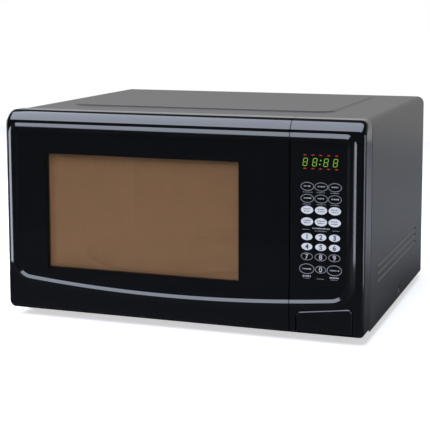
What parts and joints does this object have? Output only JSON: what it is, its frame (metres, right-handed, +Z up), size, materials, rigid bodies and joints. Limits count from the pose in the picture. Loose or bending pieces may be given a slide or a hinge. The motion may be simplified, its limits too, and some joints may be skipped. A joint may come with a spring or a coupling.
{
  "type": "microwave oven",
  "caption": "Countertop microwave oven with a side-hinged window door, keypad and display panel, release button, glass turntable tray and dark metal cabinet.",
  "frame": {"origin": "middle of the footprint, on the surface the feet stand on", "axes": "+X to the right seen from the front, +Y towards the back, +Z up"},
  "size_m": [0.483, 0.4, 0.277],
  "materials": {
    "case_paint": "semi-gloss fine-textured paint",
    "bare_zinc": "zinc-plated sheet",
    "foot_rubber": "moulded rubber",
    "cavity_enamel": "baked light enamel",
    "mica_sheet": "mica board",
    "magnetron_aluminium": "plain",
    "core_steel": "plain steel",
    "winding_enamel": "enamelled winding wire",
    "circuit_board": "laminate with soldered parts",
    "clear_glass": "clear heat-resisting glass",
    "grey_moulding": "moulded plastic",
    "pale_nylon": "moulded nylon",
    "black_moulding": "semi-gloss black moulding",
    "black_glass": "glossy glass with a black print round the window",
    "keypad_sheet": "printed flexible sheet",
    "display_block": "dark filter over lit segments",
    "inner_film": "thin clear sheet"
  },
  "bodies": {
    "cabinet": {"outer_case": "case_paint", "rear_panel": "bare_zinc", "base_plate": "bare_zinc", "foot_front_left": "foot_rubber", "foot_front_right": "foot_rubber", "foot_rear_left": "foot_rubber", "foot_rear_right": "foot_rubber", "front_plate": "cavity_enamel", "cavity_floor": "cavity_enamel", "cavity_ceiling": "cavity_enamel", "cavity_left_wall": "cavity_enamel", "cavity_right_wall": "cavity_enamel", "cavity_rear_wall": "cavity_enamel", "waveguide_cover": "mica_sheet", "waveguide": "bare_zinc", "magnetron": "magnetron_aluminium", "transformer_core": "core_steel", "transformer_winding": "winding_enamel", "capacitor": "magnetron_aluminium", "filter_board": "circuit_board", "cord_gland": "foot_rubber", "oven_lamp": "clear_glass", "fan_housing": "grey_moulding", "fan_motor": "bare_zinc", "case_screw_left": "bare_zinc", "case_screw_right": "bare_zinc", "rear_screw_1": "bare_zinc", "rear_screw_2": "bare_zinc", "rear_screw_3": "bare_zinc", "rear_screw_4": "bare_zinc", "hinge_bracket_top": "bare_zinc", "hinge_bracket_bottom": "bare_zinc", "control_panel": "black_moulding", "keypad_film": "keypad_sheet", "display_module": "display_block", "control_board": "circuit_board", "latch_bracket": "grey_moulding", "door_switch_lower": "pale_nylon", "door_switch_upper": "pale_nylon", "turntable_motor": "bare_zinc", "button_spring": "core_steel"},
    "door": {"door_frame": "black_moulding", "door_glass": "black_glass", "door_screen": "core_steel", "door_inner_film": "inner_film", "choke_cover": "grey_moulding", "latch_spring": "core_steel"},
    "latch": {"latch_hook": "pale_nylon"},
    "button": {"release_button": "black_moulding"},
    "lever": {"release_lever": "pale_nylon"},
    "turntable": {"drive_coupler": "pale_nylon", "glass_tray": "clear_glass"},
    "ring": {"roller_ring": "pale_nylon"},
    "roller_a": {"roller_1": "pale_nylon"},
    "roller_b": {"roller_2": "pale_nylon"},
    "roller_c": {"roller_3": "pale_nylon"},
    "fan": {"fan_blade": "grey_moulding"}
  },
  "joints": [
    {"name": "door_hinge", "type": "hinge", "parent": "cabinet", "child": "door", "pos_m": [-0.2293, -0.1783, 0.1445], "axis": [0, 0, -1], "range_deg": [0, 100]},
    {"name": "latch_lift", "type": "slide", "parent": "door", "child": "latch", "axis": [0, 0, 1], "range_m": [0, 0.004], "stiffness_N_per_m": 600, "springref_m": -0.004, "deforming": ["latch_spring"]},
    {"name": "button_press", "type": "slide", "parent": "cabinet", "child": "button", "axis": [0, 1, 0], "range_m": [0, 0.006], "stiffness_N_per_m": 700, "springref_m": -0.003, "deforming": ["button_spring"]},
    {"name": "lever_turn", "type": "hinge", "parent": "cabinet", "child": "lever", "pos_m": [0.163, -0.156, 0.06], "axis": [1, 0, 0], "range_deg": [0, 12.5]},
    {"name": "turntable_spin", "type": "hinge", "parent": "cabinet", "child": "turntable", "pos_m": [-0.05, 0.007, 0.05], "axis": [0, 0, 1], "continuous": true},
    {"name": "ring_spin", "type": "hinge", "parent": "cabinet", "child": "ring", "pos_m": [-0.05, 0.007, 0.042], "axis": [0, 0, 1], "continuous": true},
    {"name": "roller_a_spin", "type": "hinge", "parent": "ring", "child": "roller_a", "pos_m": [-0.05, 0.114, 0.0422], "axis": [0, 1, 0], "continuous": true},
    {"name": "roller_b_spin", "type": "hinge", "parent": "ring", "child": "roller_b", "pos_m": [-0.14266, -0.0465, 0.0422], "axis": [-0.866, -0.5, 0], "continuous": true},
    {"name": "roller_c_spin", "type": "hinge", "parent": "ring", "child": "roller_c", "pos_m": [0.04267, -0.0465, 0.0422], "axis": [0.866, -0.5, 0], "continuous": true},
    {"name": "fan_spin", "type": "hinge", "parent": "cabinet", "child": "fan", "pos_m": [0.18, 0.155, 0.19], "axis": [0, 1, 0], "continuous": true}
  ],
  "couplings": [
    {"joint": "lever_turn", "follows": "button_press", "rad_per_m": 34.5},
    {"joint": "ring_spin", "follows": "turntable_spin", "ratio": 0.5},
    {"joint": "roller_a_spin", "follows": "turntable_spin", "ratio": -6.6875},
    {"joint": "roller_b_spin", "follows": "turntable_spin", "ratio": -6.6875},
    {"joint": "roller_c_spin", "follows": "turntable_spin", "ratio": -6.6875}
  ]
}
